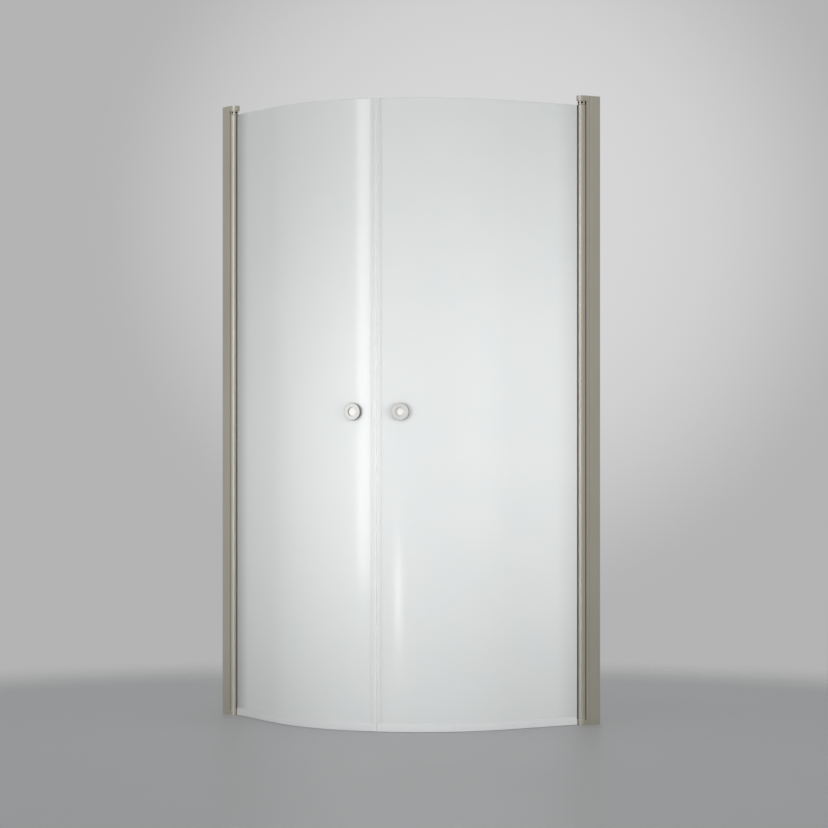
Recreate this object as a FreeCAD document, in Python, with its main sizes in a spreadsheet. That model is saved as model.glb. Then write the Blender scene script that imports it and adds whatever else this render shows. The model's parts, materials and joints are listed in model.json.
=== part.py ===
"""Corner shower screen with two curved glass doors on pivot tubes.

The left half is drawn piece by piece and the right half is its reflection in the diagonal of the corner.
The origin lies on the floor, in the middle of the square that the screen fills. +Z is up, and the two walls
are the planes of largest X and largest Y.

Most pieces are drawn in one of three plan frames. The wall frame starts at the wall and the pivot frame at
the hinge axis, both in the profile's middle plane. The door frame starts beside the hinge axis, in the middle
plane of the glass. In all of them x runs from the wall along the closed door and y runs into the shower.
"""
import FreeCAD
import Part
import Sketcher
import os
import re

# Driving sizes in millimetres
SIZES = {
    # Whole screen
    "frame_height": 2000,
    "frame_span": 895,
    "arc_radius": 542.5,
    # Wall channel and its cap
    "profile_width": 25,
    "channel_depth": 40,
    "channel_wall": 1.8,
    "lip_length": 8,
    "lip_taper": 0.8,
    "wall_hole": 5,
    "wall_hole_inset": 100,
    "cap_plate": 2,
    "cap_plug": 4,
    "cap_clearance": 0.3,
    # Hinge post and its seal strip
    "screw_head_room": 10,
    "post_clearance": 0.3,
    "post_wall": 1.6,
    "post_reveal": 1,
    "post_head_depth": 11.5,
    "post_lip": 2.2,
    "hinge_seal_width": 4,
    "hinge_seal_depth": 1.5,
    "hinge_seal_proud": 0.6,
    # Brackets, pins, ring and washer
    "boss_overhang": 1,
    "cap_bulge": 4,
    "cap_height": 16,
    "foot_height": 16,
    "spigot_length": 25,
    "spigot_clearance": 0.1,
    "pin_diameter": 6,
    "pin_seat": 12,
    "pin_reach": 20,
    "press_clearance": 0.02,
    "running_clearance": 0.05,
    "ring_height": 12.5,
    "ring_chamfer": 0.6,
    "tommy_hole": 7,
    "tommy_depth": 6,
    "washer_inset": 1,
    "thrust_thickness": 1,
    "thrust_gap": 0.2,
    "end_gap": 0.5,
    # Adjusting screws
    "screw_diameter": 4,
    "screw_length": 8,
    "screw_head": 8,
    "screw_head_height": 2.4,
    "screw_head_bevel": 0.9,
    "screw_hole_clearance": 0.2,
    "screw_inset": 35,
    "thread_clearance": 0.05,
    # Pivot tube and its plugs
    "tube_overhang": 0.5,
    "tube_gap": 1,
    "tube_wall": 2.5,
    "tube_web": 1.5,
    "plug_wall": 1.5,
    "plug_height": 24,
    "plug_clearance": 0.1,
    # Glass and glazing gasket
    "glass_thickness": 6,
    "glass_offset": 5,
    "glass_setback": 1,
    "glass_edge_gap": 7,
    "gasket_thickness": 1.5,
    "gasket_base": 0.75,
    "gasket_clearance": 0.05,
    "gasket_lip": 3.5,
    "gasket_lip_edge": 0.55,
    # Meeting seal and magnet strip
    "seal_wall": 1.25,
    "seal_clearance": 0.15,
    "clip_depth": 7,
    "meeting_gap": 0.95,
    "nose_tip": 1.5,
    "magnet_thickness": 2.6,
    "magnet_width": 4,
    "magnet_clearance": 0.1,
    # Bottom seal
    "bottom_seal_wall": 1.2,
    "bottom_seal_clearance": 0.05,
    "bottom_seal_arm": 7,
    "bottom_seal_base": 1.4,
    "bottom_seal_splay": 0.95,
    "bottom_seal_end_gap": 3.7,
    "bottom_seal_hinge_gap": 1,
    "floor_gap": 1,
    "seal_stack_gap": 0.4,
    # Knobs
    "knob_distance": 76,
    "knob_level": 995,
    "knob_diameter": 54,
    "knob_height": 12,
    "knob_floor": 5,
    "rim_bevel": 2.5,
    "recess_diameter": 27,
    "mouth_bevel": 1,
    "insert_height": 1.6,
    "insert_dish": 0.8,
    "insert_clearance": 0.1,
    "stud_diameter": 6,
    "stud_end_gap": 0.5,
    "glass_hole": 12,
    "sleeve_clearance": 0.1,
    "washer_thickness": 1.5,
    "washer_diameter": 40,
    "washer_clearance": 0.05,
}

# Places and derived sizes, worked out from the driving sizes
PLACES = {
    "profile_half": "profile_width / 2",
    "boss_radius": "profile_half + boss_overhang",
    "corner_reach": "(frame_span + boss_overhang) / 2",
    "channel_top": "frame_height - cap_plate",
    "inner_half": "profile_half - channel_wall",
    # Hinge post
    "tongue_start": "channel_wall + screw_head_room",
    "tongue_half": "inner_half - post_clearance",
    "head_start": "channel_depth + post_reveal",
    "post_reach": "head_start + post_head_depth",
    "tube_radius": "profile_half + tube_overhang",
    "groove_radius": "tube_radius + tube_gap",
    "groove_half": "profile_half - post_lip",
    "pivot_reach": "post_reach + sqrt(groove_radius ^ 2 - groove_half ^ 2)",
    "groove_floor": "pivot_reach - groove_radius",
    "strip_half": "hinge_seal_width / 2",
    "strip_floor": "groove_floor - hinge_seal_depth",
    "groove_middle": "(groove_half + strip_half) / 2",
    "cavity_start": "tongue_start + post_wall",
    "cavity_end": "strip_floor - post_wall",
    "cavity_half": "tongue_half - post_wall",
    "post_bottom": "foot_height",
    "post_top": "frame_height - cap_height",
    # Heights at the pivot
    "pin_radius": "pin_diameter / 2",
    "ring_bottom": "post_top - ring_height",
    "tube_top": "ring_bottom - end_gap",
    "tube_bottom": "foot_height + thrust_thickness + thrust_gap",
    "glass_top": "tube_top - glass_setback",
    "glass_bottom": "tube_bottom + glass_setback",
    # Pivot tube section
    "slot_half": "glass_thickness / 2 + gasket_thickness",
    "slot_outer": "glass_offset - slot_half",
    "slot_inner": "glass_offset + slot_half",
    "outer_mouth": "sqrt(tube_radius ^ 2 - slot_outer ^ 2)",
    "inner_mouth": "sqrt(tube_radius ^ 2 - slot_inner ^ 2)",
    "bore_radius": "tube_radius - tube_wall",
    "bore_flat": "pin_radius + plug_wall",
    "slot_floor": "bore_flat + tube_web",
    "web_outer": "slot_outer - tube_web",
    # Plan of the glass, from the hinge axis
    "glass_half": "glass_thickness / 2",
    "glass_start": "slot_floor + gasket_clearance + gasket_base",
    "arc_start": "frame_span - profile_half - arc_radius - pivot_reach - glass_offset",
    "glass_turn": "45 - 180 / pi * glass_edge_gap / arc_radius",
    "knob_turn": "45 - 180 / pi * knob_distance / arc_radius",
    "outer_radius": "arc_radius + glass_half",
    "inner_radius": "arc_radius - glass_half",
    "lip_end": "outer_mouth + gasket_lip",
    # Meeting seal, from the edge of the glass
    "clip_half": "glass_half + seal_clearance",
    "seal_half": "clip_half + seal_wall",
    "tip_centre": "glass_edge_gap - meeting_gap / 2 - nose_tip",
    "magnet_start": "seal_clearance + seal_wall",
    # Bottom seal
    "bottom_clip_half": "glass_half + bottom_seal_clearance",
    "bottom_half": "bottom_clip_half + bottom_seal_wall",
    "bottom_floor": "glass_bottom - bottom_seal_clearance",
    "bottom_web": "bottom_floor - bottom_seal_base",
    "bottom_seal_top": "glass_bottom + bottom_seal_arm",
    "bottom_seal_start": "lip_end + bottom_seal_hinge_gap",
    "bottom_turn": "45 - 180 / pi * bottom_seal_end_gap / arc_radius",
    # Knobs, along their axis from the middle of the glass
    "knob_seat": "glass_half + washer_thickness",
    "knob_top": "knob_seat + knob_height",
    "knob_radius": "knob_diameter / 2",
    "recess_radius": "recess_diameter / 2",
    "recess_floor": "knob_seat + knob_floor",
    "insert_radius": "recess_radius - insert_clearance",
    "insert_top": "recess_floor + insert_height",
    "stud_radius": "stud_diameter / 2",
    # Adjusting screws
    "screw_radius": "screw_diameter / 2",
    "screw_line": "(cavity_start + channel_depth) / 2",
    "low_screw": "foot_height + spigot_length + screw_inset",
    "middle_screw": "frame_height / 2",
    "high_screw": "post_top - spigot_length - screw_inset",
}
SCREW_LEVELS = ("low_screw", "middle_screw", "high_screw")
WALL_HOLES = 4
TOMMY_HOLES = 6

# Frames of the left half: x, y, z and yaw, pitch, roll
PIVOT_X = "corner_reach - frame_span + profile_half"
PIVOT_Y = "corner_reach - pivot_reach"
WALL_FRAME = (PIVOT_X, "corner_reach", "0", "-90", "0", "0")
PIVOT_FRAME = (PIVOT_X, PIVOT_Y, "0", "-90", "0", "0")
DOOR_X = f"{PIVOT_X} + glass_offset"
DOOR_FRAME = (DOOR_X, PIVOT_Y, "0", "-90", "0", "0")

doc = FreeCAD.newDocument("shower_screen")
sheet = doc.addObject("Spreadsheet::Sheet", "sizes")
for row, (name, size) in enumerate(SIZES.items(), start=1):
    sheet.set(f"A{row}", name)
    sheet.set(f"B{row}", str(size))
    sheet.setAlias(f"B{row}", name)
doc.recompute()


def formula(text):
    """A formula in size and place names, written out in cells of the sheet."""
    def spell(match):
        word = match.group()
        if word in PLACES:
            return f"({formula(PLACES[word])})"
        return f"sizes.{word}" if word in SIZES else word
    return re.sub(r"[a-z_]+", spell, text)


def value(text):
    """The number that a formula stands for."""
    return float(sheet.evalExpression(formula(text)))


def bind(thing, property_name, text):
    thing.setExpression(property_name, formula(text))


def place(thing, frame):
    """Bind a placement to six formulas: x, y, z and yaw, pitch, roll."""
    x, y, z, yaw, pitch, roll = frame
    bind(thing, "Placement", f"placement(vector({x}; {y}; {z}); rotation({yaw}; {pitch}; {roll}))")
    return thing


def both_sides(half):
    """Close a half outline with its reflection in the x axis.

    A corner is (x, y), or (x, y, bend) where the stretch to the next corner is round. A bend is
    (radius, via x, via y). The last corner may have a bend that crosses the axis, or lie on the axis.
    """
    loop = list(half)
    if half[-1][1] == "0":
        loop.pop()
    for index in reversed(range(len(half))):
        x, y = half[index][:2]
        before = half[index - 1] if index else ()
        corner = (x, f"-({y})")
        if len(before) == 3:
            radius, via_x, via_y = before[2]
            corner += ((radius, via_x, f"-({via_y})"),)
        loop.append(corner)
    return loop


def fix_point(sketch, geometry, end, x, y):
    """Hold one point of a sketch at two formulas from the sketch's origin."""
    origin = (-1, 1)
    for kind, text in (("DistanceX", x), ("DistanceY", y)):
        rule = Sketcher.Constraint(kind, *origin, geometry, end, value(text))
        number = sketch.addConstraint(rule)
        bind(sketch, f"Constraints[{number}]", text)


def round_stretch(here, via, there):
    """An arc through three points, and whether it runs clockwise."""
    through = Part.Circle(here, via, there)
    circle = Part.Circle(through.Center, FreeCAD.Vector(0, 0, 1), through.Radius)
    clockwise = (via - here).cross(there - via).z < 0
    first, last = (there, here) if clockwise else (here, there)
    return Part.ArcOfCircle(circle, circle.parameter(first), circle.parameter(last)), clockwise


def draw_loop(sketch, outline):
    """Draw a closed outline whose corners and radii are bound to formulas."""
    first = sketch.GeometryCount
    spots = [FreeCAD.Vector(value(corner[0]), value(corner[1]), 0) for corner in outline]
    ends = []
    for index, corner in enumerate(outline):
        here = spots[index]
        there = spots[(index + 1) % len(spots)]
        if len(corner) == 2:
            sketch.addGeometry(Part.LineSegment(here, there))
            ends.append((1, 2))
            continue
        radius, via_x, via_y = corner[2]
        via = FreeCAD.Vector(value(via_x), value(via_y), 0)
        arc, clockwise = round_stretch(here, via, there)
        number = sketch.addGeometry(arc)
        ends.append((2, 1) if clockwise else (1, 2))
        rule = sketch.addConstraint(Sketcher.Constraint("Radius", number, value(radius)))
        bind(sketch, f"Constraints[{rule}]", radius)
    for index, corner in enumerate(outline):
        following = (index + 1) % len(outline)
        meeting = (first + index, ends[index][1], first + following, ends[following][0])
        sketch.addConstraint(Sketcher.Constraint("Coincident", *meeting))
        fix_point(sketch, first + index, ends[index][0], corner[0], corner[1])


def draw_circle(sketch, x, y, radius):
    spot = FreeCAD.Vector(value(x), value(y), 0)
    number = sketch.addGeometry(Part.Circle(spot, FreeCAD.Vector(0, 0, 1), value(radius)))
    rule = sketch.addConstraint(Sketcher.Constraint("Radius", number, value(radius)))
    bind(sketch, f"Constraints[{rule}]", radius)
    fix_point(sketch, number, 3, x, y)


def new_body(label, frame):
    body = doc.addObject("PartDesign::Body", label)
    body.Label = label
    return place(body, frame)


def new_sketch(body, plane, offset):
    """A sketch on one of the body's own origin planes, moved along the plane's normal."""
    support = next(item for item in body.Origin.OriginFeatures if item.Role == plane)
    sketch = body.newObject("Sketcher::SketchObject", f"{body.Label}_sketch")
    sketch.AttachmentSupport = [(support, "")]
    sketch.MapMode = "FlatFace"
    bind(sketch, "AttachmentOffset.Base.z", offset)
    return sketch


def pad(body, loops, low, high):
    """Extrude loops between two heights. A loop is a list of corners, or one circle (x, y, radius)."""
    sketch = new_sketch(body, "XY_Plane", low)
    for loop in loops:
        if isinstance(loop, tuple):
            draw_circle(sketch, *loop)
        else:
            draw_loop(sketch, loop)
    feature = body.newObject("PartDesign::Pad", f"{body.Label}_pad")
    feature.Profile = sketch
    bind(feature, "Length", f"{high} - ({low})")
    doc.recompute()
    return feature


def extrusion(label, frame, loops, low, high):
    body = new_body(label, frame)
    pad(body, loops, low, high)
    return body


def drill(body, plane, offset, holes, depth, flipped):
    """Cut round holes, each (x, y, radius), from a moved origin plane. It has to take material away."""
    whole = body.Shape.Volume
    sketch = new_sketch(body, plane, offset)
    for x, y, radius in holes:
        draw_circle(sketch, x, y, radius)
    pocket = body.newObject("PartDesign::Pocket", f"{body.Label}_holes")
    pocket.Profile = sketch
    pocket.Reversed = flipped
    bind(pocket, "Length", depth)
    doc.recompute()
    if not body.Shape.Volume < whole:
        raise ValueError(f"the holes miss {body.Label}")
    return pocket


def turned(label, frame, outline):
    """A body of revolution about its own z axis, from an outline of (radius, height) corners."""
    body = new_body(label, frame)
    sketch = new_sketch(body, "XZ_Plane", "0")
    draw_loop(sketch, outline)
    feature = body.newObject("PartDesign::Revolution", f"{label}_turn")
    feature.Profile = sketch
    feature.ReferenceAxis = (sketch, ["V_Axis"])
    feature.Angle = 360
    doc.recompute()
    return body


def combine(kind, label, base, tool):
    """A boolean of two shapes, such as Part::Cut."""
    result = doc.addObject(kind, label)
    result.Label = label
    result.Base = base
    result.Tool = tool
    return result


def rectangle(x_low, x_high, half):
    return both_sides([(x_low, half), (x_high, half)])


def on_the_arc(turn, yaw, pitch):
    """A frame on the glass's middle line, a turn round the arc from its start."""
    x = f"{DOOR_X} + arc_radius * (1 - cos({turn}))"
    y = f"{PIVOT_Y} - arc_start - arc_radius * sin({turn})"
    return (x, y, "0", yaw, pitch, "0")


def knob_frame(facing):
    """A frame whose z axis is the knob's axis, pointing out of the shower or into it."""
    yaw = {"outer": "180 + knob_turn", "inner": "knob_turn"}[facing]
    x, y, level, yaw, pitch, roll = on_the_arc("knob_turn", yaw, "90")
    return (x, y, "knob_level", yaw, pitch, roll)


# Wall side

def wall_channel():
    """U-shaped wall profile with tapered lips, wall holes and holes for the adjusting screws."""
    half = [
        ("0", "profile_half"),
        ("channel_depth - lip_length", "profile_half"),
        ("channel_depth", "profile_half - lip_taper"),
        ("channel_depth", "inner_half"),
        ("channel_wall", "inner_half"),
    ]
    body = extrusion("left_wall_channel", WALL_FRAME, [both_sides(half)], "0", "channel_top")
    pitch = f"(frame_height - 2 * wall_hole_inset) / {WALL_HOLES - 1}"
    wall_holes = [("0", f"wall_hole_inset + {step} * {pitch}", "wall_hole / 2") for step in range(WALL_HOLES)]
    drill(body, "YZ_Plane", "0", wall_holes, "channel_wall", True)
    screw_holes = [("screw_line", level, "screw_radius + screw_hole_clearance") for level in SCREW_LEVELS]
    drill(body, "XZ_Plane", "-profile_half", screw_holes, "channel_wall", True)
    return body


def hinge_post():
    """Hollow adjusting profile: a tongue in the channel and a head hollowed out round the pivot tube."""
    groove = ("groove_radius", "pivot_reach - sqrt(groove_radius ^ 2 - groove_middle ^ 2)", "groove_middle")
    half = [
        ("tongue_start", "tongue_half"),
        ("head_start", "tongue_half"),
        ("head_start", "profile_half"),
        ("post_reach", "profile_half"),
        ("post_reach", "groove_half", groove),
        ("pivot_reach - sqrt(groove_radius ^ 2 - strip_half ^ 2)", "strip_half"),
        ("strip_floor", "strip_half"),
    ]
    loops = [both_sides(half), rectangle("cavity_start", "cavity_end", "cavity_half")]
    body = extrusion("left_hinge_post", WALL_FRAME, loops, "post_bottom", "post_top")
    screw_holes = [("screw_line", level, "screw_radius + thread_clearance") for level in SCREW_LEVELS]
    drill(body, "XZ_Plane", "-tongue_half", screw_holes, "post_wall", True)
    return body


def hinge_seal():
    strip = rectangle("strip_floor", "groove_floor + hinge_seal_proud", "strip_half")
    return extrusion("left_hinge_seal", WALL_FRAME, [strip], "post_bottom", "post_top")


def bracket(label, bulge, low, high, tail_top, spigot, pin_face, pin_flipped):
    """Pivot boss and neck in front of the channel, a tail inside it and a spigot in the hollow post.

    The boss reaches further into the shower than out of it by the bulge, over the start of the glass.
    """
    centre = f"{bulge} / 2"
    radius = f"boss_radius + {centre}"
    nose = (radius, f"pivot_reach + {radius}", centre)
    neck = [
        ("head_start", "-profile_half"),
        (f"pivot_reach - sqrt(({radius}) ^ 2 - (profile_half + {centre}) ^ 2)", "-profile_half", nose),
        (f"pivot_reach - sqrt(({radius}) ^ 2 - (profile_half - {centre}) ^ 2)", "profile_half"),
        ("head_start", "profile_half"),
    ]
    body = extrusion(label, WALL_FRAME, [neck], low, high)
    pad(body, [rectangle("tongue_start", "head_start", "tongue_half")], low, tail_top)
    plug = rectangle("cavity_start + spigot_clearance", "cavity_end - spigot_clearance",
                     "cavity_half - spigot_clearance")
    pad(body, [plug], *spigot)
    drill(body, "XY_Plane", pin_face, [("pivot_reach", "0", "pin_radius + press_clearance")],
          "pin_seat", pin_flipped)
    return body


def top_bracket():
    return bracket("left_top_bracket", "cap_bulge", "post_top", "frame_height",
                   "channel_top - cap_plug - cap_clearance", ("post_top - spigot_length", "post_top"),
                   "post_top", True)


def foot_block():
    return bracket("left_foot_block", "0", "0", "foot_height",
                   "foot_height", ("foot_height", "foot_height + spigot_length"),
                   "foot_height", False)


def pivot_pin(label, low, high):
    return extrusion(label, PIVOT_FRAME, [("0", "0", "pin_radius")], low, high)


def upper_pin():
    return pivot_pin("left_upper_pin", "ring_bottom - pin_reach", "post_top + pin_seat")


def lower_pin():
    return pivot_pin("left_lower_pin", "foot_height - pin_seat", "foot_height + thrust_thickness + pin_reach")


def adjuster_ring():
    """Ring round the upper pin with blind holes for a tommy bar."""
    outline = [
        ("pin_radius + press_clearance", "ring_bottom"),
        ("tube_radius - ring_chamfer", "ring_bottom"),
        ("tube_radius", "ring_bottom + ring_chamfer"),
        ("tube_radius", "post_top - ring_chamfer"),
        ("tube_radius - ring_chamfer", "post_top"),
        ("pin_radius + press_clearance", "post_top"),
    ]
    body = turned("left_adjuster_ring", PIVOT_FRAME, outline)
    hole = [("0", "ring_bottom + ring_height / 2", "tommy_hole / 2")]
    pocket = drill(body, "YZ_Plane", "tube_radius", hole, "tommy_depth", False)
    pattern = body.newObject("PartDesign::PolarPattern", "left_adjuster_ring_pattern")
    pattern.Originals = [pocket]
    axis = next(item for item in body.Origin.OriginFeatures if item.Role == "Z_Axis")
    pattern.Axis = (axis, [""])
    pattern.Angle = 360
    pattern.Occurrences = TOMMY_HOLES
    body.Tip = pattern
    return body


def thrust_washer():
    loops = [("0", "0", "tube_radius - washer_inset"), ("0", "0", "pin_radius + running_clearance")]
    high = "foot_height + thrust_thickness"
    return extrusion("left_thrust_washer", PIVOT_FRAME, loops, "foot_height", high)


def channel_cap():
    """Flat cap on the channel with a plug inside it, above the bracket's tail."""
    plate = rectangle("0", "channel_depth", "profile_half")
    body = extrusion("left_channel_cap", WALL_FRAME, [plate], "channel_top", "frame_height")
    plug = rectangle("channel_wall + cap_clearance", "channel_depth - cap_clearance",
                     "inner_half - cap_clearance")
    pad(body, [plug], "channel_top - cap_plug", "channel_top")
    return body


def screw_frame(level):
    """A frame on the channel's inner flank whose z axis points into the shower."""
    return (f"{PIVOT_X} + profile_half", "corner_reach - screw_line", level, "0", "90", "0")


def adjusting_screw(level):
    """Pan-head screw through the channel's flank into the post."""
    outline = [
        ("0", "-screw_length"),
        ("screw_radius", "-screw_length"),
        ("screw_radius", "0"),
        ("screw_head / 2", "0"),
        ("screw_head / 2", "screw_head_height - screw_head_bevel"),
        ("screw_head / 2 - screw_head_bevel", "screw_head_height"),
        ("0", "screw_head_height"),
    ]
    return turned(f"left_{level}", screw_frame(level), outline)


# Door

def tube_hollow(clearance):
    """Hollow of the pivot tube, beside its glazing slot, made smaller by a clearance."""
    radius = f"bore_radius - {clearance}"
    flat = f"bore_flat - {clearance}"
    side = f"web_outer - {clearance}"
    return [
        (flat, side),
        (f"sqrt(({radius}) ^ 2 - ({side}) ^ 2)", side, (radius, f"-({radius})", "0")),
        (flat, f"sqrt(({radius}) ^ 2 - ({flat}) ^ 2)"),
    ]


def pivot_tube():
    """Round tube with a glazing slot on its inner half, webs round the slot and a hollow for the plugs."""
    outside = [
        ("slot_floor", "slot_outer"),
        ("outer_mouth", "slot_outer", ("tube_radius", "-tube_radius", "0")),
        ("inner_mouth", "slot_inner"),
        ("slot_floor", "slot_inner"),
    ]
    return extrusion("left_pivot_tube", PIVOT_FRAME, [outside, tube_hollow("0")], "tube_bottom", "tube_top")


def bearing_plug(label, low, high):
    """Plastic plug that fills the tube's hollow and runs on a pivot pin."""
    loops = [tube_hollow("plug_clearance"), ("0", "0", "pin_radius + running_clearance")]
    return extrusion(label, PIVOT_FRAME, loops, low, high)


def upper_plug():
    return bearing_plug("left_upper_plug", "tube_top - plug_height", "tube_top")


def lower_plug():
    return bearing_plug("left_lower_plug", "tube_bottom", "tube_bottom + plug_height")


def gasket_side(mouth):
    """One side of the gasket: along the slot to its mouth, out to the tip of a tapered lip and back."""
    bed = "slot_half - gasket_clearance"
    grip = "glass_half + gasket_clearance"
    return [
        ("slot_floor + gasket_clearance", bed),
        (mouth, bed),
        (f"{mouth} + gasket_lip", f"{grip} + gasket_lip_edge"),
        (f"{mouth} + gasket_lip", grip),
        ("glass_start - gasket_clearance", grip),
    ]


def glazing_gasket():
    """Rubber channel round the edge of the glass, with lips that taper out of the tube's slot."""
    outer_side = [(x, f"-({y})") for x, y in reversed(gasket_side("outer_mouth"))]
    loop = gasket_side("inner_mouth") + outer_side
    return extrusion("left_glazing_gasket", DOOR_FRAME, [loop], "glass_bottom", "glass_top")


def arc_point(radius, turn):
    """Plan coordinates in the door frame of a point on the door's arc."""
    return (f"arc_start + {radius} * sin({turn})", f"arc_radius - {radius} * cos({turn})")


def glass():
    """Curved sheet: straight from the tube, then an eighth of a circle, with the knob's hole."""
    outside = ("outer_radius", *arc_point("outer_radius", "glass_turn / 2"))
    inside = ("inner_radius", *arc_point("inner_radius", "glass_turn / 2"))
    outline = [
        ("glass_start", "-glass_half"),
        ("arc_start", "-glass_half", outside),
        arc_point("outer_radius", "glass_turn"),
        (*arc_point("inner_radius", "glass_turn"), inside),
        ("arc_start", "glass_half"),
        ("glass_start", "glass_half"),
    ]
    sheet_of_glass = extrusion("left_glass_sheet", DOOR_FRAME, [outline], "glass_bottom", "glass_top")
    hole = extrusion("left_glass_hole", knob_frame("outer"), [("0", "0", "glass_hole / 2")],
                     "-knob_seat", "knob_seat")
    return combine("Part::Cut", "left_glass", sheet_of_glass, hole)


SEAL_FRAME = on_the_arc("glass_turn", "glass_turn - 90", "0")


def meeting_seal():
    """Clear profile clipped on the free edge, with a pocket for the magnet strip and a nose at 45 degrees.

    The slender nose lets the doors pass each other, inwards as well as outwards.
    """
    tip = ("nose_tip", "tip_centre + nose_tip * cos(22.5)", "nose_tip * sin(22.5)")
    half = [
        ("seal_clearance", "clip_half"),
        ("-clip_depth", "clip_half"),
        ("-clip_depth", "seal_half"),
        ("tip_centre + nose_tip * sqrt(2) - seal_half", "seal_half"),
        ("tip_centre + nose_tip * sqrt(1 / 2)", "nose_tip * sqrt(1 / 2)", tip),
        ("tip_centre + nose_tip", "0"),
    ]
    pocket = rectangle("magnet_start", "magnet_start + magnet_thickness + 2 * magnet_clearance",
                       "magnet_width / 2 + magnet_clearance")
    low = "bottom_seal_top + seal_stack_gap"
    return extrusion("left_meeting_seal", SEAL_FRAME, [both_sides(half), pocket], low, "glass_top")


def magnet_strip():
    strip = rectangle("magnet_start + magnet_clearance", "magnet_start + magnet_clearance + magnet_thickness",
                      "magnet_width / 2")
    low = "bottom_seal_top + seal_stack_gap"
    return extrusion("left_magnet_strip", SEAL_FRAME, [strip], low, "glass_top")


def bottom_seal():
    """Clear profile under the glass: a clip above and two splayed lips below, along the line and the arc."""
    foot = "bottom_half + bottom_seal_splay"
    half = [
        (foot, "floor_gap"),
        ("bottom_half", "bottom_web"),
        ("bottom_half", "bottom_seal_top"),
        ("bottom_clip_half", "bottom_seal_top"),
        ("bottom_clip_half", "bottom_floor"),
    ]
    lip = [
        ("bottom_clip_half", "bottom_web"),
        (f"{foot} - bottom_seal_wall", "floor_gap"),
    ]
    other_half = [(f"-({x})", y) for x, y in reversed(half)]
    other_lip = [(f"-({x})", y) for x, y in reversed(lip)]
    body = new_body("left_bottom_seal", DOOR_FRAME)
    sketch = new_sketch(body, "YZ_Plane", "arc_start")
    draw_loop(sketch, half + other_half + other_lip + lip)
    axis = Part.LineSegment(FreeCAD.Vector(value("arc_radius"), 0, 0),
                            FreeCAD.Vector(value("arc_radius"), value("bottom_seal_top"), 0))
    number = sketch.addGeometry(axis, True)
    fix_point(sketch, number, 1, "arc_radius", "0")
    fix_point(sketch, number, 2, "arc_radius", "bottom_seal_top")
    straight = body.newObject("PartDesign::Pad", "left_bottom_seal_straight")
    straight.Profile = sketch
    straight.Reversed = True
    bind(straight, "Length", "arc_start - bottom_seal_start")
    doc.recompute()
    curve = body.newObject("PartDesign::Revolution", "left_bottom_seal_curve")
    curve.Profile = sketch
    curve.ReferenceAxis = (sketch, ["Axis0"])
    bind(curve, "Angle", "bottom_turn")
    return body


def knob(facing):
    """Ring-shaped knob with a bevelled rim, a deep recess and a threaded hole for the stud."""
    half_way = "rim_bevel * (1 - sqrt(1 / 2))"
    outline = [
        ("stud_radius + thread_clearance", "knob_seat"),
        ("knob_radius", "knob_seat"),
        ("knob_radius", "knob_top - rim_bevel"),
        (f"knob_radius - {half_way}", f"knob_top - {half_way}"),
        ("knob_radius - rim_bevel", "knob_top"),
        ("recess_radius + mouth_bevel", "knob_top"),
        ("recess_radius", "knob_top - mouth_bevel"),
        ("recess_radius", "recess_floor"),
        ("stud_radius + thread_clearance", "recess_floor"),
    ]
    return turned(f"left_{facing}_knob", knob_frame(facing), outline)


def knob_insert(facing):
    """Dished disc on the floor of a knob's recess."""
    outline = [
        ("0", "recess_floor"),
        ("insert_radius", "recess_floor"),
        ("insert_radius", "insert_top"),
        ("0", "insert_top - insert_dish"),
    ]
    return turned(f"left_{facing}_insert", knob_frame(facing), outline)


def knob_stud():
    """Threaded stud that draws the two knobs together through the glass."""
    return extrusion("left_knob_stud", knob_frame("outer"), [("0", "0", "stud_radius")],
                     "stud_end_gap - recess_floor", "recess_floor - stud_end_gap")


def knob_sleeve():
    """Plastic sleeve between the stud and the hole in the glass."""
    loops = [("0", "0", "glass_hole / 2 - sleeve_clearance"), ("0", "0", "stud_radius + sleeve_clearance")]
    return extrusion("left_knob_sleeve", knob_frame("outer"), loops, "-glass_half", "glass_half")


def saddle_washer(facing, kind, radius):
    """Clear washer, flat under the knob and hollowed to the curve of the glass."""
    bore = "glass_hole / 2"
    rim = "washer_diameter / 2"
    disc = turned(f"left_{facing}_disc", knob_frame(facing),
                  [(bore, "0"), (rim, "0"), (rim, "knob_seat"), (bore, "knob_seat")])
    drum = doc.addObject("Part::Cylinder", f"left_{facing}_drum")
    bind(drum, "Radius", radius)
    bind(drum, "Height", "2 * knob_level")
    place(drum, (f"{DOOR_X} + arc_radius", f"{PIVOT_Y} - arc_start", "0", "0", "0", "0"))
    return combine(kind, f"left_{facing}_washer", disc, drum)


def outer_washer():
    return saddle_washer("outer", "Part::Cut", "outer_radius + washer_clearance")


def inner_washer():
    return saddle_washer("inner", "Part::Common", "inner_radius - washer_clearance")


def mirrored(source, label):
    """The right-hand twin of a left-hand piece, reflected in the diagonal of the corner."""
    twin = doc.addObject("Part::Mirroring", label)
    twin.Label = label
    twin.Source = source
    twin.Normal = FreeCAD.Vector(1, -1, 0)
    return twin


def group(label, pieces):
    """Identical small pieces of both sides in one part."""
    compound = doc.addObject("Part::Compound", label)
    compound.Label = label
    compound.Links = pieces + [mirrored(piece, f"{piece.Label}_twin") for piece in pieces]
    return compound


def test_shape(part):
    """Stop at a piece that is missing or broken."""
    shape = part.Shape
    if shape.isNull() or not shape.isValid() or not shape.Solids:
        raise ValueError(f"{part.Label} has no valid solid")


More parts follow.
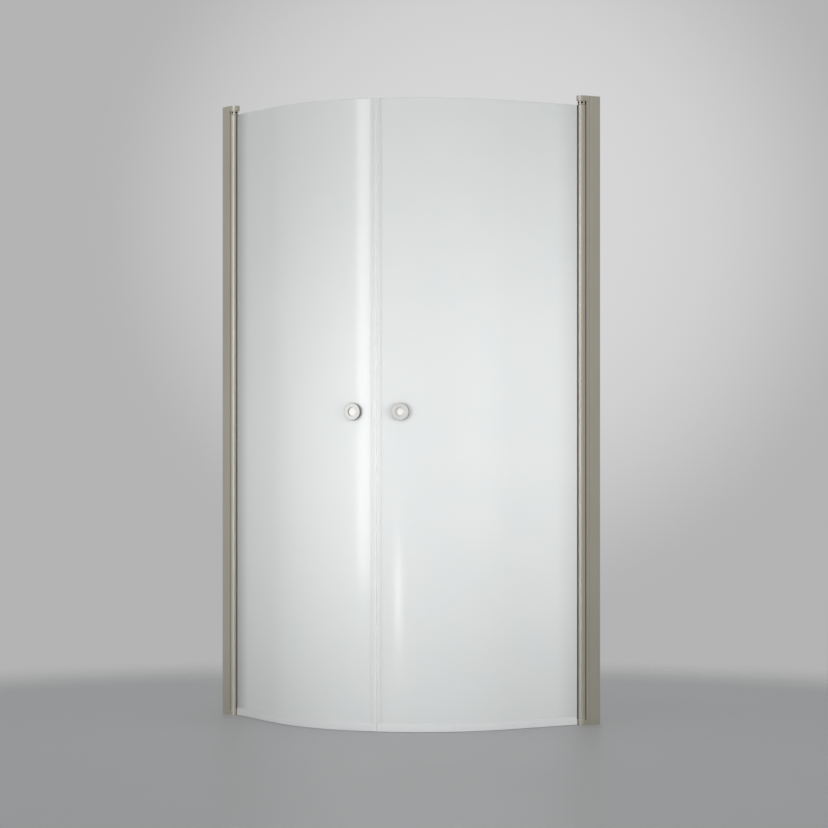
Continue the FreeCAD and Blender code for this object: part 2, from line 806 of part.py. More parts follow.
left_parts = [
    wall_channel(), hinge_post(), hinge_seal(), top_bracket(), foot_block(), upper_pin(), lower_pin(),
    adjuster_ring(), thrust_washer(), channel_cap(),
    pivot_tube(), upper_plug(), lower_plug(), glazing_gasket(), glass(), meeting_seal(), magnet_strip(),
    bottom_seal(), knob("outer"), knob("inner"), knob_insert("outer"), knob_insert("inner"), knob_stud(),
    knob_sleeve(), outer_washer(), inner_washer(),
]
right_parts = [mirrored(part, part.Label.replace("left_", "right_")) for part in left_parts]
shared_parts = [group("adjusting_screws", [adjusting_screw(level) for level in SCREW_LEVELS])]
all_parts = left_parts + right_parts + shared_parts
doc.recompute()

for item in doc.Objects:
    if {"Invalid", "Error"} & set(item.State):
        raise ValueError(f"{item.Label} failed to build")
for part in all_parts:
    test_shape(part)
os.makedirs("parts", exist_ok=True)
for part in all_parts:
    part.Shape.exportStep(f"parts/{part.Label}.step")
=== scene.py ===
"""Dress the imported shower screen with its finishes, its curved and turned pieces, a studio and a camera.

Lengths are in metres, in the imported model's frame. The left half is described from its hinge axis and the
right half is its reflection in the diagonal of the corner.
"""
import json
import math

import bmesh
import bpy
from mathutils import Matrix, Vector


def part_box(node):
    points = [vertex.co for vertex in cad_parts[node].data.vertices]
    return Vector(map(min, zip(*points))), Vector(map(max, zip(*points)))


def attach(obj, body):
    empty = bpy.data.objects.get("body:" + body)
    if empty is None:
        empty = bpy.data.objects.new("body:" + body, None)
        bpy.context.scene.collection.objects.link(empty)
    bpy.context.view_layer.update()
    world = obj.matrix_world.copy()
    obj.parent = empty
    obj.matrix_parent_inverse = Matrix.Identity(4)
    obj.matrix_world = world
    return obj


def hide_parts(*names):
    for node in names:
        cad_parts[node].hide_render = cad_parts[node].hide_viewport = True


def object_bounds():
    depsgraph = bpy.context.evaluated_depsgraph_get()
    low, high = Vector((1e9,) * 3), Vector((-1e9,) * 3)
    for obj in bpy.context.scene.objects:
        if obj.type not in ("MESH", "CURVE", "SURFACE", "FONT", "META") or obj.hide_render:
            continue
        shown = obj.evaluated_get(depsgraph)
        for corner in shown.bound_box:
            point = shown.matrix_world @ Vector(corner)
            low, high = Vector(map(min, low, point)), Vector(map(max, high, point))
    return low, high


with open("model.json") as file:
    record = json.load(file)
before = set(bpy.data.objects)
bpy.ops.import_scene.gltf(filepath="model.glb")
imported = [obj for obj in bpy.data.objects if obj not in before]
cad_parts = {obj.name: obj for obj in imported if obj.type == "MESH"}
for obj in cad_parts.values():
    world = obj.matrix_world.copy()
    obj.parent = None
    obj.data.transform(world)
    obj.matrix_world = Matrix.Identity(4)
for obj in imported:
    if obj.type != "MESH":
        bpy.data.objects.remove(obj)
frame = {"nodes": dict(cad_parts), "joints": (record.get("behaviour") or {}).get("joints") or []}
cad_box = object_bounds()

# Places that the frame gives
SIDES = ("left", "right")
UP = Vector((0, 0, 1))
HINGE = next(Vector(joint["pos_m"]) for joint in frame["joints"] if joint["child"] == "left_door")
WALL = cad_box[1].x
GLASS_LOW, GLASS_HIGH = (corner.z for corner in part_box("left_glass"))
SEAL_LOW, SEAL_HIGH = (corner.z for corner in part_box("left_bottom_seal"))
GLASS_START = HINGE.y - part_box("left_glass")[1].y
SEAL_START = HINGE.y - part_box("left_bottom_seal")[1].y

# Plan of a door along the middle of its glass, with gaps counted back from the meeting line
GLASS_HALF = 0.003
GLASS_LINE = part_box("left_glass")[0].x + GLASS_HALF
GLASS_ARRIS = 0.0006
GLASS_EDGE_GAP = 0.007
SEAL_END_GAP = 0.0037
SEAL_TIP_GAP = 0.0006
SEAL_TIP_SHARE = 0.12
ARC_RADIUS = 0.5425
ARC_STEPS = 72
ARC_START = HINGE.y - GLASS_LINE - ARC_RADIUS
DIAGONAL = ARC_START + ARC_RADIUS * math.pi / 4

# Thin noses of the meeting seals, by their distance from the meeting line
NOSE_TIP = 0.0015
NOSE_ROOT = 0.0045
NOSE_SHADE = 1.3

# Bottom seal section
SEAL_WALL = 0.0012
SEAL_CLEARANCE = 0.00005
SEAL_BASE = 0.0014
SEAL_SPLAY = 0.00095
SEAL_EDGE = 0.0003

# Knobs: their place on the door, and their sizes along their axis from the middle of the glass
KNOB_DISTANCE = 0.076
KNOB_ALONG = DIAGONAL - KNOB_DISTANCE
KNOB_LEVEL = (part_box("left_outer_knob")[0].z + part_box("left_outer_knob")[1].z) / 2
KNOB_HOLE = 0.012
KNOB_SEAT = 0.0045
KNOB_TOP = 0.0165
KNOB_RADIUS = 0.027
KNOB_RIM = 0.0025
KNOB_FOOT = 0.0005
# Painted shade on the knobs' walls
KNOB_WALL_SHADE = 0.3
RECESS_RADIUS = 0.0135
RECESS_FLOOR = 0.0095
RECESS_MOUTH = 0.001
STUD_HOLE = 0.00305
INSERT_RADIUS = 0.0134
INSERT_HEIGHT = 0.0016
INSERT_DISH = 0.0008
KNOB_STEPS = 96
HOLE_STEPS = 48
DISH_STEPS = 12

# Adjuster rings with painted shade in their holes, and the painted shade on the glass beside the hinge tubes
RING_RADIUS = 0.0129
HOLE_EDGE = 0.0006
HOLE_SHADE = 0.01
PAINTED_TUBE_SHADE_END = 0.105
PAINTED_TUBE_SHADES = {"left": 0.68, "right": 0.88}

# Adjusting screws
SCREW_LEVELS = (0.076, 1.0, 1.924)
SCREW_FROM_WALL = 0.0267
PROFILE_HALF = 0.0125
SCREW_RADIUS = 0.002
SCREW_LENGTH = 0.008
SCREW_HEAD = 0.004
SCREW_HEAD_HEIGHT = 0.0024
SCREW_HEAD_ROUND = 0.0009
SLOT_LENGTH = 0.0046
SLOT_WIDTH = 0.001
SLOT_DEPTH = 0.0015
SCREW_STEPS = 40

# Surface grain, and the radii that soften the edges of pieces
LINE_DEPTH = 0.000004
SKIN_DEPTH = 0.000002
SPARK_DEPTH = 0.00001
RUBBER_DEPTH = 0.00002
METAL_EDGE = 0.0005
PLASTIC_EDGE = 0.0004
STEEL_EDGE = 0.0002
BEVEL_SAMPLES = 4

# The part of a source's range, such as noise, that is spread out
SPREAD_START = 0.3
SPREAD_END = 0.7

# Meshes
ROUND_STEPS = 6
SHARP_ANGLE = math.radians(32)
MERGE_DISTANCE = 1e-7
FLAT_DISTANCE = 1e-8

# Floor
FLOOR_CENTRE = Vector((-0.6, -1.03, 0))
FLOOR_RADIUS = 3.4
FLOOR_FADE = 1.0
FLOOR_STEPS = 96

# Light of the surroundings, and their glows: azimuth, elevation and reach in degrees, and the light they add
SURROUNDINGS = 0.454
GLOWS = (
    ("behind", 58, 4, 8.5, 0.224),
    ("front", 210, 12, 95, 0.137),
)

# Lamps: azimuth in degrees, distance, height, width, tallness and radiance
FILLS = (
    ("left_fill", 202, 1.42, 0.86, 0.8, 0.9, 2.85),
    ("right_fill", 281, 1.85, 1.0, 0.8, 0.9, 6.9),
    ("inner_fill", 45, 1.5, 1.0, 0.8, 1.2, 4.5),
    ("floor_bounce", 243, 1.2, 0.1, 0.9, 0.2, 0.9),
)
STREAKS = (
    ("streak", 202.3, 3.8, 1.53, 0.6, 2.54, 3.6),
    ("low_streak", 225.8, 3.8, 0.2, 0.3, 0.4, 5.0),
)

# Camera, level, with its turn from +Y
CAMERA_SPOT = (-4.466, -7.625, 0.988)
CAMERA_TURN = math.radians(-30.486)
CAMERA_LEVEL = math.radians(90)
CAMERA_LENS = 118.37


def for_side(side, vector):
    """A vector of the left half, or its reflection in the diagonal for the right half."""
    return vector if side == "left" else Vector((vector.y, vector.x, vector.z))


# Node helpers

def new_finish(name, values):
    """A material with one shader, whose plain values are set on the shader's own sockets."""
    material = bpy.data.materials.new(name)
    material.use_nodes = True
    shader = material.node_tree.nodes["Principled BSDF"]
    for socket, value in values.items():
        shader.inputs[socket].default_value = value
    return material, material.node_tree, shader


def add_node(tree, kind, **inputs):
    """A node whose inputs are set by name, with _ for each space."""
    node = tree.nodes.new(kind)
    for socket, value in inputs.items():
        node.inputs[socket.replace("_", " ")].default_value = value
    return node


def spread(tree, source, low, high, start=SPREAD_START, end=SPREAD_END):
    """Stretch a source, such as noise, over a range of values."""
    node = add_node(tree, "ShaderNodeMapRange", From_Min=start, From_Max=end, To_Min=low, To_Max=high)
    node.interpolation_type = "SMOOTHSTEP"
    tree.links.new(source, node.inputs["Value"])
    return node.outputs["Result"]


def grain(tree, scale, stretch=(1, 1, 1), detail=3.0):
    """Noise in the piece's own space. A small stretch value draws it out along that axis."""
    spot = add_node(tree, "ShaderNodeTexCoord")
    mapping = add_node(tree, "ShaderNodeMapping", Scale=stretch)
    noise = add_node(tree, "ShaderNodeTexNoise", Scale=scale, Detail=detail)
    tree.links.new(spot.outputs["Object"], mapping.inputs["Vector"])
    tree.links.new(mapping.outputs["Vector"], noise.inputs["Vector"])
    return noise.outputs["Fac"]


def axis_distance(tree, x=0.0, y=0.0):
    """Distance from an upright axis, in the piece's own space."""
    spot = add_node(tree, "ShaderNodeTexCoord")
    flat = add_node(tree, "ShaderNodeMapping", Location=(-x, -y, 0), Scale=(1, 1, 0))
    reach = tree.nodes.new("ShaderNodeVectorMath")
    reach.operation = "LENGTH"
    tree.links.new(spot.outputs["Object"], flat.inputs["Vector"])
    tree.links.new(flat.outputs["Vector"], reach.inputs[0])
    return reach.outputs["Value"]


def hinge_distance(tree):
    """Distance from the nearer of the two hinge axes."""
    nearer = tree.nodes.new("ShaderNodeMath")
    nearer.operation = "MINIMUM"
    for side, socket in zip(SIDES, nearer.inputs):
        axis = for_side(side, HINGE)
        tree.links.new(axis_distance(tree, axis.x, axis.y), socket)
    return nearer.outputs["Value"]


def painted_tube_shade(tree):
    """A painted shade that is dark beside each hinge tube and 1 further along the door."""
    both = tree.nodes.new("ShaderNodeMath")
    both.operation = "MULTIPLY"
    for side, socket in zip(SIDES, both.inputs):
        axis = for_side(side, HINGE)
        distance = axis_distance(tree, axis.x, axis.y)
        shade = spread(tree, distance, PAINTED_TUBE_SHADES[side], 1.0, RING_RADIUS, PAINTED_TUBE_SHADE_END)
        tree.links.new(shade, socket)
    return both.outputs["Value"]


def diagonal_distance(tree):
    """Distance from the upright plane where the doors meet."""
    spot = add_node(tree, "ShaderNodeTexCoord")
    across = tree.nodes.new("ShaderNodeVectorMath")
    across.operation = "DOT_PRODUCT"
    across.inputs[1].default_value = (math.sqrt(0.5), -math.sqrt(0.5), 0)
    distance = tree.nodes.new("ShaderNodeMath")
    distance.operation = "ABSOLUTE"
    tree.links.new(spot.outputs["Object"], across.inputs[0])
    tree.links.new(across.outputs["Value"], distance.inputs[0])
    return distance.outputs["Value"]


def painted_wall_shade(tree, dark):
    """A painted shade that is dark on the walls along the piece's own z axis and 1 on the faces across it.
    """
    spot = add_node(tree, "ShaderNodeTexCoord")
    parts = tree.nodes.new("ShaderNodeSeparateXYZ")
    facing = tree.nodes.new("ShaderNodeMath")
    facing.operation = "ABSOLUTE"
    tree.links.new(spot.outputs["Normal"], parts.inputs["Vector"])
    tree.links.new(parts.outputs["Z"], facing.inputs[0])
    return spread(tree, facing.outputs["Value"], dark, 1.0)


def turning_marks(tree, scale):
    """Noise in fine rings round the piece's own z axis."""
    noise = add_node(tree, "ShaderNodeTexNoise", Scale=scale, Detail=2.0)
    noise.noise_dimensions = "1D"
    tree.links.new(axis_distance(tree), noise.inputs["W"])
    return noise.outputs["Fac"]


def two_tones(tree, source, first, second):
    """Blend two colours by noise."""
    ramp = tree.nodes.new("ShaderNodeValToRGB")
    ramp.color_ramp.elements[0].position = SPREAD_START
    ramp.color_ramp.elements[1].position = SPREAD_END
    ramp.color_ramp.elements[0].color = (*first, 1)
    ramp.color_ramp.elements[1].color = (*second, 1)
    tree.links.new(source, ramp.inputs["Fac"])
    return ramp.outputs["Color"]


def paint(tree, shader, source, first, second, shade=None):
    """Give the shader two tones, blended by noise. A shade multiplies them."""
    colour = two_tones(tree, source, first, second)
    if shade:
        scaled = tree.nodes.new("ShaderNodeVectorMath")
        scaled.operation = "SCALE"
        tree.links.new(colour, scaled.inputs[0])
        tree.links.new(shade, scaled.inputs["Scale"])
        colour = scaled.outputs["Vector"]
    tree.links.new(colour, shader.inputs["Base Color"])


def roughen(tree, shader, source, low, high):
    """Vary the shader's roughness by noise."""
    tree.links.new(spread(tree, source, low, high), shader.inputs["Roughness"])


def relief(tree, shader, source, depth, edge=0.0):
    """Raise the surface by noise, and soften its edges by a radius."""
    bump = add_node(tree, "ShaderNodeBump", Distance=depth)
    tree.links.new(source, bump.inputs["Height"])
    if edge:
        bevel = add_node(tree, "ShaderNodeBevel", Radius=edge)
        bevel.samples = BEVEL_SAMPLES
        tree.links.new(bevel.outputs["Normal"], bump.inputs["Normal"])
    tree.links.new(bump.outputs["Normal"], shader.inputs["Normal"])


# Finishes

def satin_nickel(name, shaded_holes=False):
    """Anodised metal: warm grey, with fine lines along its length. A ring with holes can get painted shade
    in them.
    """
    material, tree, shader = new_finish(name, {"Metallic": 1.0})
    clouds = grain(tree, scale=9, stretch=(1, 1, 0.3))
    lines = grain(tree, scale=1400, stretch=(1, 1, 0.003))
    shade = None
    if shaded_holes:
        shade = spread(tree, hinge_distance(tree), HOLE_SHADE, 1.0, RING_RADIUS - HOLE_EDGE, RING_RADIUS)
    paint(tree, shader, clouds, (0.63, 0.595, 0.505), (0.67, 0.635, 0.545), shade)
    roughen(tree, shader, lines, low=0.4, high=0.5)
    relief(tree, shader, lines, LINE_DEPTH, METAL_EDGE)
    return material


def knob_nickel():
    """Turned and satin knobs: paler than the profiles, painted shade on the walls, rings left by the tool.
    """
    material, tree, shader = new_finish("knob_nickel_finish", {"Metallic": 0.4})
    clouds = grain(tree, scale=60)
    rings = turning_marks(tree, scale=5200)
    shade = painted_wall_shade(tree, KNOB_WALL_SHADE)
    paint(tree, shader, clouds, (0.6, 0.595, 0.57), (0.64, 0.635, 0.615), shade)
    roughen(tree, shader, rings, low=0.4, high=0.5)
    relief(tree, shader, rings, LINE_DEPTH)
    return material


def polished_insert():
    """Bright discs in the knobs, with very fine rings left by the tool."""
    material, tree, shader = new_finish("polished_insert_finish", {"Metallic": 0.2})
    rings = turning_marks(tree, scale=9000)
    smears = grain(tree, scale=140)
    paint(tree, shader, smears, (0.83, 0.83, 0.815), (0.85, 0.85, 0.84))
    roughen(tree, shader, rings, low=0.44, high=0.52)
    relief(tree, shader, rings, SKIN_DEPTH)
    return material


def frosted_glass():
    """Toughened glass, etched to a satin: light comes through it, but no outline does."""
    material, tree, shader = new_finish("frosted_glass_finish", {
        "Transmission Weight": 0.4, "IOR": 1.5, "Coat Weight": 0.9, "Coat Roughness": 0.14, "Coat IOR": 1.5,
    })
    clouds = grain(tree, scale=5)
    etching = grain(tree, scale=2600, detail=1.0)
    # The glass colour carries painted shade beside the hinge tubes
    paint(tree, shader, clouds, (0.925, 0.95, 0.945), (0.945, 0.962, 0.957), painted_tube_shade(tree))
    roughen(tree, shader, etching, low=0.5, high=0.58)
    relief(tree, shader, etching, SKIN_DEPTH)
    return material


def clear_plastic():
    """Soft clear PVC, a little cloudy, and paler at the thin noses where the doors meet."""
    material, tree, shader = new_finish("clear_plastic_finish", {"Transmission Weight": 0.12, "IOR": 1.45})
    clouds = grain(tree, scale=40)
    skin = grain(tree, scale=700)
    nose = spread(tree, diagonal_distance(tree), NOSE_SHADE, 1.0, NOSE_TIP, NOSE_ROOT)
    paint(tree, shader, clouds, (0.735, 0.743, 0.747), (0.757, 0.765, 0.768), nose)
    roughen(tree, shader, skin, low=0.3, high=0.4)
    relief(tree, shader, skin, SKIN_DEPTH)
    return material


def black_rubber():
    """Matt black rubber with a little dust."""
    material, tree, shader = new_finish("black_rubber_finish", {"Specular IOR Level": 0.35})
    dust = grain(tree, scale=70)
    skin = grain(tree, scale=1800)
    paint(tree, shader, dust, (0.05, 0.05, 0.051), (0.068, 0.067, 0.066))
    roughen(tree, shader, skin, low=0.5, high=0.68)
    relief(tree, shader, skin, RUBBER_DEPTH)
    return material


def moulded_plastic(name, first, second):
    """Moulded plastic with a fine sparked texture."""
    material, tree, shader = new_finish(name, {"IOR": 1.46})
    clouds = grain(tree, scale=50)
    sparks = grain(tree, scale=2200)
    paint(tree, shader, clouds, first, second)
    roughen(tree, shader, sparks, low=0.42, high=0.56)
    relief(tree, shader, sparks, SPARK_DEPTH, PLASTIC_EDGE)
    return material


def steel():
    """Bright stainless steel with drawing lines."""
    material, tree, shader = new_finish("steel_finish", {"Metallic": 1.0})
    clouds = grain(tree, scale=90)
    lines = grain(tree, scale=1600, stretch=(1, 1, 0.05))
    paint(tree, shader, clouds, (0.58, 0.58, 0.575), (0.66, 0.66, 0.655))
    roughen(tree, shader, lines, low=0.2, high=0.32)
    relief(tree, shader, lines, LINE_DEPTH, STEEL_EDGE)
    return material


def pale_floor():
    """Plain pale floor that fades out towards its rim."""
    material, tree, shader = new_finish("floor_finish", {"Specular IOR Level": 0.25})
    clouds = grain(tree, scale=1.5)
    paint(tree, shader, clouds, (0.545, 0.555, 0.565), (0.565, 0.575, 0.585))
    roughen(tree, shader, clouds, low=0.4, high=0.46)
    fade = spread(tree, axis_distance(tree), 1.0, 0.0, FLOOR_RADIUS - FLOOR_FADE, FLOOR_RADIUS)
    tree.links.new(fade, shader.inputs["Alpha"])
    return material


finishes = {
    "satin_nickel": satin_nickel("satin_nickel_finish"),
    "knob_nickel": knob_nickel(),
    "polished_insert": polished_insert(),
    "frosted_glass": frosted_glass(),
    "clear_plastic": clear_plastic(),
    "black_rubber": black_rubber(),
    "white_plastic": moulded_plastic("white_plastic_finish", (0.78, 0.78, 0.76), (0.84, 0.84, 0.825)),
    "nickel_plastic": moulded_plastic("nickel_plastic_finish", (0.36, 0.34, 0.295), (0.4, 0.378, 0.33)),
    "steel": steel(),
    "magnet": moulded_plastic("magnet_finish", (0.8, 0.81, 0.81), (0.84, 0.85, 0.85)),
}
for node in frame["nodes"].values():
    for slot in node.material_slots:
        slot.material = finishes[slot.material.name]
# The adjuster rings get painted shade, almost black, in their holes
hole_shaded_nickel = satin_nickel("drilled_nickel_finish", shaded_holes=True)
for side in SIDES:
    frame["nodes"][f"{side}_adjuster_ring"].material_slots[0].material = hole_shaded_nickel


# Shape helpers

def door_point(side, along, out, height):
    """A point of a closed door: along it from the hinge axis, out from the middle of the glass, and up."""
    turn = max(0, along - ARC_START) / ARC_RADIUS
    reach = min(along, ARC_START)
    x = GLASS_LINE + ARC_RADIUS - (ARC_RADIUS + out) * math.cos(turn)
    y = HINGE.y - reach - (ARC_RADIUS + out) * math.sin(turn)
    return for_side(side, Vector((x, y, height)))


def door_ring(side, along, section):
    """A section's (out, height) points, set across a closed door at one place along it."""
    return [door_point(side, along, out, height) for out, height in section]


def upright_frame(spot, axis):
    """A frame at a spot, with its z axis along a level axis and its x axis up."""
    turn = Matrix((UP, axis.cross(UP), axis)).transposed()
    return Matrix.Translation(spot) @ turn.to_4x4()


def rounded(corners):
    """A closed outline from corners (x, y, radius), with each corner rounded by its radius."""
    outline = []
    for index, (x, y, radius) in enumerate(corners):
        here = Vector((x, y))
        back = (Vector(corners[index - 1][:2]) - here).normalized()
        ahead = (Vector(corners[(index + 1) % len(corners)][:2]) - here).normalized()
        if not radius:
            outline.append(here)
            continue
        half = back.angle(ahead) / 2
        centre = here + (back + ahead).normalized() * radius / math.sin(half)
        first = here + back * radius / math.tan(half) - centre
        turn = (math.pi - 2 * half) * (1 if back.cross(ahead) < 0 else -1)
        for step in range(ROUND_STEPS + 1):
            outline.append(centre + Matrix.Rotation(turn * step / ROUND_STEPS, 2) @ first)
    return outline


def loft(rings, closed):
    """A mesh through rings of points. Open lofts get flat ends."""
    shape = bmesh.new()
    rows = [[shape.verts.new(point) for point in ring] for ring in rings]
    last = len(rows) if closed else len(rows) - 1
    for number in range(last):
        this, following = rows[number], rows[(number + 1) % len(rows)]
        for index in range(len(this)):
            ahead = (index + 1) % len(this)
            shape.faces.new((this[index], this[ahead], following[ahead], following[index]))
    if not closed:
        shape.faces.new(rows[0])
        shape.faces.new(rows[-1])
    return shape


def turned(outline, steps):
    """Turn a closed outline of (radius, height) points round the z axis."""
    rings = []
    for step in range(steps):
        angle = 2 * math.pi * step / steps
        rings.append([(r * math.cos(angle), r * math.sin(angle), z) for r, z in outline])
    return loft(rings, closed=True)


def plain_mesh(name, shape):
    """Turn a shape into a mesh as it is."""
    mesh = bpy.data.meshes.new(name)
    shape.to_mesh(mesh)
    shape.free()
    return mesh


def to_mesh(name, shape):
    """Clean up a shape and turn it into a mesh."""
    bmesh.ops.remove_doubles(shape, verts=shape.verts, dist=MERGE_DISTANCE)
    bmesh.ops.dissolve_degenerate(shape, edges=shape.edges, dist=FLAT_DISTANCE)
    bmesh.ops.recalc_face_normals(shape, faces=shape.faces)
    return plain_mesh(name, shape)


def cut(name, mesh, tool_shape):
    """A new mesh: the old one without a tool's shape."""
    piece = bpy.data.objects.new("to_cut", mesh)
    tool = bpy.data.objects.new("tool", to_mesh("tool", tool_shape))
    for thing in (piece, tool):
        bpy.context.scene.collection.objects.link(thing)
    boolean = piece.modifiers.new("cut", "BOOLEAN")
    boolean.object = tool
    bpy.context.view_layer.update()
    result = bpy.data.meshes.new_from_object(piece.evaluated_get(bpy.context.evaluated_depsgraph_get()))
    for thing in (piece, tool):
        bpy.data.objects.remove(thing)
    result.name = name
    return result


def add_piece(mesh, slot, body, node, place=Matrix()):
    """Show a mesh in place of a node, smooth between sharp edges, on the node's body and with its finish."""
    piece = bpy.data.objects.new(mesh.name, mesh)
    bpy.context.scene.collection.objects.link(piece)
    piece.matrix_world = place
    mesh.materials.clear()
    mesh.materials.append(finishes[slot])
    mesh.shade_smooth()
    mesh.set_sharp_from_angle(angle=SHARP_ANGLE)
    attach(piece, body)
    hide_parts(node)


# Curved sheets and seals

def stations(start, end):
    """Places along a door: its start, then close together on the arc."""
    arc = [ARC_START + (end - ARC_START) * step / ARC_STEPS for step in range(ARC_STEPS + 1)]
    return [start] + arc


def glass_section(inset):
    """Outline across the glass as (out, height) points, with its arrises. An inset thins it at the ends."""
    half = GLASS_HALF - inset
    arris = GLASS_ARRIS
    return [
        (half, GLASS_LOW + arris), (half, GLASS_HIGH - arris), (half - arris, GLASS_HIGH),
        (arris - half, GLASS_HIGH), (-half, GLASS_HIGH - arris), (-half, GLASS_LOW + arris),
        (arris - half, GLASS_LOW), (half - arris, GLASS_LOW),
    ]


def rod(start, end, radius):
    """A round tool between two points."""
    axis = end - start
    turn = axis.to_track_quat("Z", "Y").to_matrix().to_4x4()
    shape = bmesh.new()
    bmesh.ops.create_cone(shape, cap_ends=True, segments=HOLE_STEPS, radius1=radius, radius2=radius,
                          depth=axis.length, matrix=Matrix.Translation((start + end) / 2) @ turn)
    return shape


def frosted_sheet(side):
    """Bent glass with polished edges and the hole for the knobs."""
    end = DIAGONAL - GLASS_EDGE_GAP
    full = glass_section(0)
    thin = glass_section(GLASS_ARRIS)
    places = stations(GLASS_START + GLASS_ARRIS, end - GLASS_ARRIS)
    rings = [door_ring(side, along, full) for along in places]
    rings = [door_ring(side, GLASS_START, thin), *rings, door_ring(side, end, thin)]
    sheet = to_mesh("whole_sheet", loft(rings, closed=False))
    hole = rod(door_point(side, KNOB_ALONG, -KNOB_SEAT, KNOB_LEVEL),
               door_point(side, KNOB_ALONG, KNOB_SEAT, KNOB_LEVEL), KNOB_HOLE / 2)
    add_piece(cut(f"{side}_frosted_sheet", sheet, hole), "frosted_glass", f"{side}_door", f"{side}_glass")


def seal_section():
    """Clip on the bottom edge of the glass and two splayed lips, as (out, height) points."""
    clip = GLASS_HALF + SEAL_CLEARANCE
    half = clip + SEAL_WALL
    foot = half + SEAL_SPLAY
    floor = GLASS_LOW - SEAL_CLEARANCE
    web = floor - SEAL_BASE
    right = [
        (foot, SEAL_LOW, SEAL_EDGE), (half, web, 0), (half, SEAL_HIGH, SEAL_EDGE),
        (clip, SEAL_HIGH, SEAL_EDGE), (clip, floor, 0),
    ]
    lip = [(clip, web, 0), (foot - SEAL_WALL, SEAL_LOW, SEAL_EDGE)]
    left = [(-x, y, radius) for x, y, radius in reversed(right)]
    left_lip = [(-x, y, radius) for x, y, radius in reversed(lip)]
    return rounded(right + left + left_lip + lip)


def bottom_strip(side):
    """Clear seal on the bottom edge of the glass, with a soft end that tapers to the other door's."""
    section = seal_section()
    tip = [(out * SEAL_TIP_SHARE, height) for out, height in section]
    places = stations(SEAL_START, DIAGONAL - SEAL_END_GAP)
    rings = [door_ring(side, along, section) for along in places]
    rings.append(door_ring(side, DIAGONAL - SEAL_TIP_GAP, tip))
    mesh = to_mesh(f"{side}_bottom_strip", loft(rings, closed=False))
    add_piece(mesh, "clear_plastic", f"{side}_door", f"{side}_bottom_seal")


# Knobs and screws

def knob_place(side, facing):
    """A frame at the knob's middle whose z axis points out of the shower or into it."""
    middle = door_point(side, KNOB_ALONG, 0, KNOB_LEVEL)
    axis = (door_point(side, KNOB_ALONG, 1, KNOB_LEVEL) - middle).normalized()
    if facing == "inner":
        axis.negate()
    return upright_frame(middle, axis)


def grip(side, facing):
    """Ring-shaped knob with a rounded rim and mouth."""
    outline = rounded([
        (STUD_HOLE, KNOB_SEAT, 0), (KNOB_RADIUS, KNOB_SEAT, KNOB_FOOT),
        (KNOB_RADIUS, KNOB_TOP, KNOB_RIM), (RECESS_RADIUS, KNOB_TOP, RECESS_MOUTH),
        (RECESS_RADIUS, RECESS_FLOOR, 0), (STUD_HOLE, RECESS_FLOOR, 0),
    ])
    mesh = to_mesh(f"{side}_{facing}_grip", turned(outline, KNOB_STEPS))
    add_piece(mesh, "knob_nickel", f"{side}_door", f"{side}_{facing}_knob", knob_place(side, facing))


def dish(side, facing):
    """Polished disc on the recess floor, hollowed as part of a sphere."""
    sphere = (INSERT_RADIUS ** 2 + INSERT_DISH ** 2) / (2 * INSERT_DISH)
    bottom = RECESS_FLOOR + INSERT_HEIGHT - INSERT_DISH
    outline = [(0, RECESS_FLOOR), (INSERT_RADIUS, RECESS_FLOOR)]
    for step in reversed(range(DISH_STEPS + 1)):
        reach = INSERT_RADIUS * step / DISH_STEPS
        outline.append((reach, bottom + sphere - math.sqrt(sphere ** 2 - reach ** 2)))
    mesh = to_mesh(f"{side}_{facing}_dish", turned(outline, KNOB_STEPS))
    add_piece(mesh, "polished_insert", f"{side}_door", f"{side}_{facing}_insert", knob_place(side, facing))


def cross_slot():
    """Two crossed bars, the tool that cuts a screw's drive."""
    shape = bmesh.new()
    for length, width in ((SLOT_LENGTH, SLOT_WIDTH), (SLOT_WIDTH, SLOT_LENGTH)):
        size = Matrix.Diagonal((length, width, 2 * SLOT_DEPTH, 1))
        bmesh.ops.create_cube(shape, size=1, matrix=Matrix.Translation((0, 0, SCREW_HEAD_HEIGHT)) @ size)
    return shape


def screw_mesh():
    """Pan-head screw with a cross drive."""
    outline = rounded([
        (0, -SCREW_LENGTH, 0), (SCREW_RADIUS, -SCREW_LENGTH, 0), (SCREW_RADIUS, 0, 0), (SCREW_HEAD, 0, 0),
        (SCREW_HEAD, SCREW_HEAD_HEIGHT, SCREW_HEAD_ROUND), (0, SCREW_HEAD_HEIGHT, 0),
    ])
    return cut("screw", to_mesh("screw_blank", turned(outline, SCREW_STEPS)), cross_slot())


def screws():
    """All adjusting screws, on the inner flanks of both wall profiles."""
    screw = screw_mesh()
    shape = bmesh.new()
    for side in SIDES:
        axis = for_side(side, Vector((1, 0, 0)))
        for level in SCREW_LEVELS:
            spot = for_side(side, Vector((HINGE.x + PROFILE_HALF, WALL - SCREW_FROM_WALL, level)))
            copy = screw.copy()
            copy.transform(upright_frame(spot, axis))
            shape.from_mesh(copy)
            bpy.data.meshes.remove(copy)
    add_piece(plain_mesh("cross_head_screws", shape), "steel", "wall_frame", "adjusting_screws")


for side in SIDES:
    frosted_sheet(side)
    bottom_strip(side)
    for facing in ("outer", "inner"):
        grip(side, facing)
        dish(side, facing)
screws()


# Stage

def floor():
    """Round floor round the screen and in front of it."""
    shape = bmesh.new()
    bmesh.ops.create_circle(shape, cap_ends=True, segments=FLOOR_STEPS, radius=FLOOR_RADIUS)
    mesh = plain_mesh("floor", shape)
    mesh.materials.append(pale_floor())
    piece = bpy.data.objects.new("floor", mesh)
    piece.location = FLOOR_CENTRE
    bpy.context.scene.collection.objects.link(piece)
    return piece


def direction(azimuth, elevation):
    """A unit vector from degrees of azimuth, counted from +X towards +Y, and degrees above the floor."""
    turn = math.radians(azimuth)
    rise = math.radians(elevation)
    return Vector((math.cos(turn) * math.cos(rise), math.sin(turn) * math.cos(rise), math.sin(rise)))


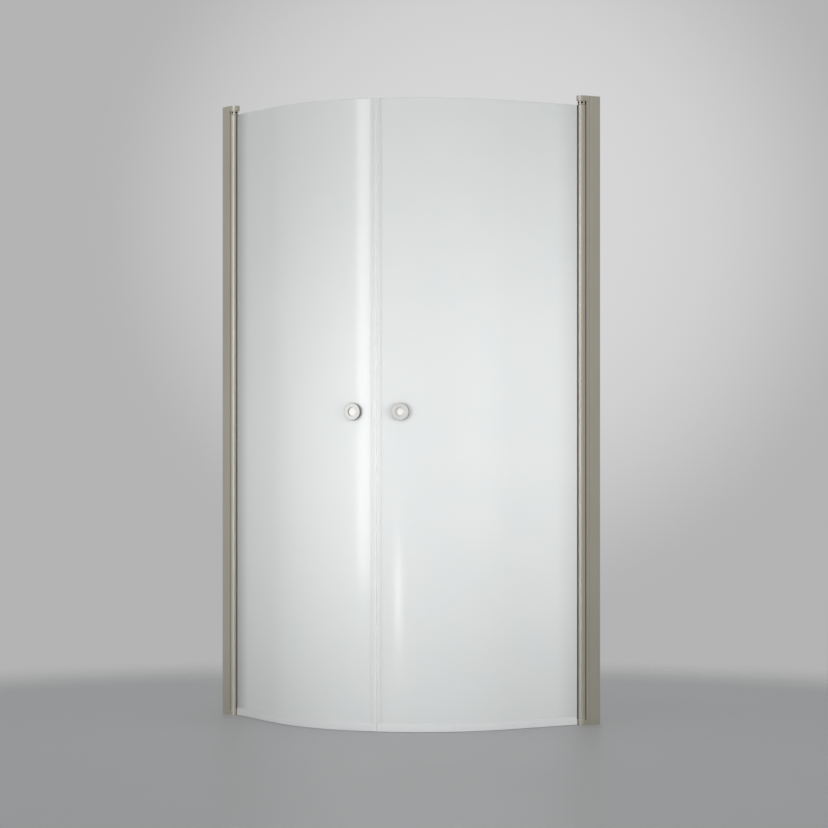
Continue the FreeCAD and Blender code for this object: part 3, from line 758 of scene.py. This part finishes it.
def surroundings():
    """Grey surroundings, softly brighter behind the screen and in front of it."""
    world = bpy.data.worlds.new("surroundings")
    world.use_nodes = True
    tree = world.node_tree
    background = tree.nodes["Background"]
    background.inputs["Color"].default_value = (1, 1, 1, 1)
    spot = add_node(tree, "ShaderNodeTexCoord")
    total = tree.nodes.new("ShaderNodeValue").outputs["Value"]
    total.default_value = SURROUNDINGS
    for name, azimuth, elevation, reach, light in GLOWS:
        toward = tree.nodes.new("ShaderNodeVectorMath")
        toward.name = name
        toward.operation = "DOT_PRODUCT"
        toward.inputs[1].default_value = direction(azimuth, elevation)
        tree.links.new(spot.outputs["Generated"], toward.inputs[0])
        glow = spread(tree, toward.outputs["Value"], 0.0, light, math.cos(math.radians(reach)), 1.0)
        add = tree.nodes.new("ShaderNodeMath")
        tree.links.new(total, add.inputs[0])
        tree.links.new(glow, add.inputs[1])
        total = add.outputs["Value"]
    tree.links.new(total, background.inputs["Strength"])
    bpy.context.scene.world = world


def keep_dark(piece):
    """A group that keeps the lamps that use it off a piece."""
    group = bpy.data.collections.new("not_lit_by_lamps")
    group.objects.link(piece)
    group.collection_objects[0].light_linking.link_state = "EXCLUDE"
    return group


def softbox(name, azimuth, distance, height, width, tall, radiance, mirrored, unlit):
    """An upright rectangle of light that faces the middle of the screen.

    It is seen in reflections and through the glass only if mirrored, and it keeps off the unlit group.
    """
    level = UP * height
    spot = direction(azimuth, 0) * distance + level
    light = bpy.data.lights.new(name, "AREA")
    light.shape = "RECTANGLE"
    light.size = width
    light.size_y = tall
    light.energy = math.pi * radiance * width * tall
    lamp = bpy.data.objects.new(name, light)
    lamp.location = spot
    lamp.rotation_euler = (level - spot).to_track_quat("-Z", "Y").to_euler()
    lamp.visible_camera = False
    lamp.visible_glossy = mirrored
    lamp.visible_transmission = mirrored
    lamp.light_linking.receiver_collection = unlit
    bpy.context.scene.collection.objects.link(lamp)


dark_floor = keep_dark(floor())
surroundings()
for lamp in FILLS:
    softbox(*lamp, mirrored=False, unlit=dark_floor)
for lamp in STREAKS:
    softbox(*lamp, mirrored=True, unlit=dark_floor)

# Camera and view

view = bpy.data.cameras.new("camera")
view.lens = CAMERA_LENS
camera = bpy.data.objects.new("camera", view)
camera.location = CAMERA_SPOT
camera.rotation_euler = (CAMERA_LEVEL, 0, CAMERA_TURN)
bpy.context.scene.collection.objects.link(camera)
bpy.context.scene.camera = camera
bpy.context.scene.view_settings.view_transform = "Standard"
